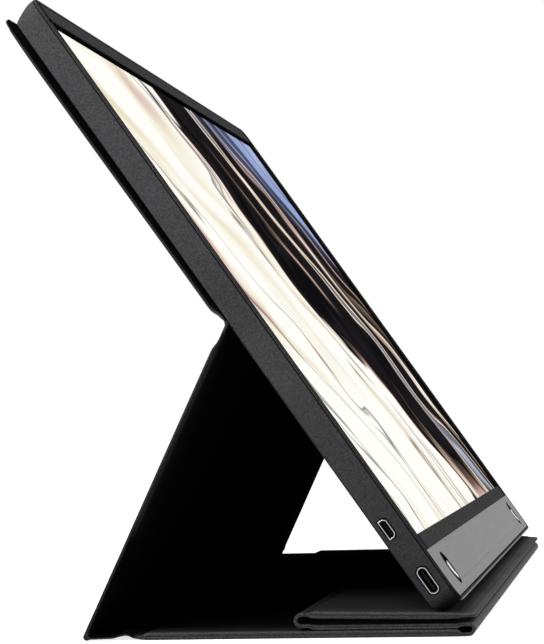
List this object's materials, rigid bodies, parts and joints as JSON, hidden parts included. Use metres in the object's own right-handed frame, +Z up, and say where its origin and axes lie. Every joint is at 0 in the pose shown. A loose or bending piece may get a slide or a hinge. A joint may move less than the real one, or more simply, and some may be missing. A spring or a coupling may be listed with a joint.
{
  "type": "portable monitor with cover",
  "caption": "Slim flat screen on a folding padded cover that wraps into a tilted stand, with side ports and two round press buttons on the lower strip.",
  "frame": {"origin": "on the table, under the middle of the cover's base panel", "axes": "+X to the viewer's right along the screen's width, -Y towards the viewer, +Z up"},
  "size_m": [0.3596, 0.1407, 0.1991],
  "materials": {
    "housing": "fine-grained matte dark grey",
    "bezel": "satin black",
    "strip": "fine perforated metal in mid grey",
    "button": "anodised grey, dished, bright chamfer",
    "picture": "lit picture behind an anti-glare surface",
    "light_guide": "clear acrylic sheet with white film",
    "tray": "folded sheet metal",
    "circuit_board": "green solder mask",
    "screw": "small machine screws",
    "battery": "foil pouch",
    "speaker": "black moulded box",
    "ribbon": "amber film",
    "port_shell": "bright plated shell",
    "port_tongue": "black insulator",
    "magnet": "nickel-plated disc",
    "dome": "soft silicone",
    "cover_skin": "fine-grained black imitation leather",
    "cover_lining": "black brushed microfibre",
    "stiff_board": "grey pressed board"
  },
  "bodies": {
    "base": {"base_skin": "cover_skin", "base_lining": "cover_lining", "base_board": "stiff_board", "leg_crease": "cover_skin", "front_fold": "cover_skin"},
    "leg": {"leg_skin": "cover_skin", "leg_lining": "cover_lining", "leg_board": "stiff_board", "back_crease": "cover_skin"},
    "screen": {"rear_housing": "housing", "front_bezel": "bezel", "control_strip": "strip", "display_panel": "picture", "light_guide": "light_guide", "display_tray": "tray", "main_board": "circuit_board", "button_board": "circuit_board", "board_screws": "screw", "battery_cells": "battery", "speaker_left": "speaker", "speaker_right": "speaker", "display_ribbon": "ribbon", "usb_c_shell": "port_shell", "usb_c_tongue": "port_tongue", "video_port_shell": "port_shell", "video_port_tongue": "port_tongue", "body_magnets": "magnet", "power_dome": "dome", "menu_dome": "dome", "upper_skin": "cover_skin", "upper_lining": "cover_lining", "upper_board": "stiff_board", "holding_magnets": "magnet"},
    "middle_flap": {"middle_flap_skin": "cover_skin", "middle_flap_lining": "cover_lining", "middle_flap_board": "stiff_board", "rear_fold": "cover_skin"},
    "front_flap": {"front_flap_skin": "cover_skin", "front_flap_lining": "cover_lining", "front_flap_board": "stiff_board", "catch_magnets": "magnet"},
    "power_button": {"power_button": "button"},
    "menu_button": {"menu_button": "button"}
  },
  "joints": [
    {"name": "leg_fold", "type": "hinge", "parent": "base", "child": "leg", "pos_m": [0, 0.0662, 0.0011], "axis": [1, 0, 0], "range_deg": [-115.63, 0], "deforming": ["leg_crease"]},
    {"name": "screen_fold", "type": "hinge", "parent": "leg", "child": "screen", "pos_m": [0, 0.02106, 0.09423], "axis": [1, 0, 0], "range_deg": [0, 60], "deforming": ["back_crease"]},
    {"name": "middle_flap_fold", "type": "hinge", "parent": "base", "child": "middle_flap", "pos_m": [0, -0.051, 0.00235], "axis": [1, 0, 0], "range_deg": [0, 180], "deforming": ["front_fold"]},
    {"name": "front_flap_fold", "type": "hinge", "parent": "middle_flap", "child": "front_flap", "pos_m": [0, -0.0003, 0.0053], "axis": [1, 0, 0], "range_deg": [-181, 0], "deforming": ["rear_fold"]},
    {"name": "power_press", "type": "slide", "parent": "screen", "child": "power_button", "axis": [0, 0.8281, -0.5606], "range_m": [0, 0.0005], "stiffness_N_per_m": 600, "deforming": ["power_dome"]},
    {"name": "menu_press", "type": "slide", "parent": "screen", "child": "menu_button", "axis": [0, 0.8281, -0.5606], "range_m": [0, 0.0005], "stiffness_N_per_m": 600, "deforming": ["menu_dome"]}
  ],
  "couplings": [
    {"joint": "screen_fold", "follows": "leg_fold", "ratio": -0.51751},
    {"joint": "middle_flap_fold", "follows": "leg_fold", "ratio": -1.15},
    {"joint": "front_flap_fold", "follows": "leg_fold", "ratio": 1.15}
  ]
}
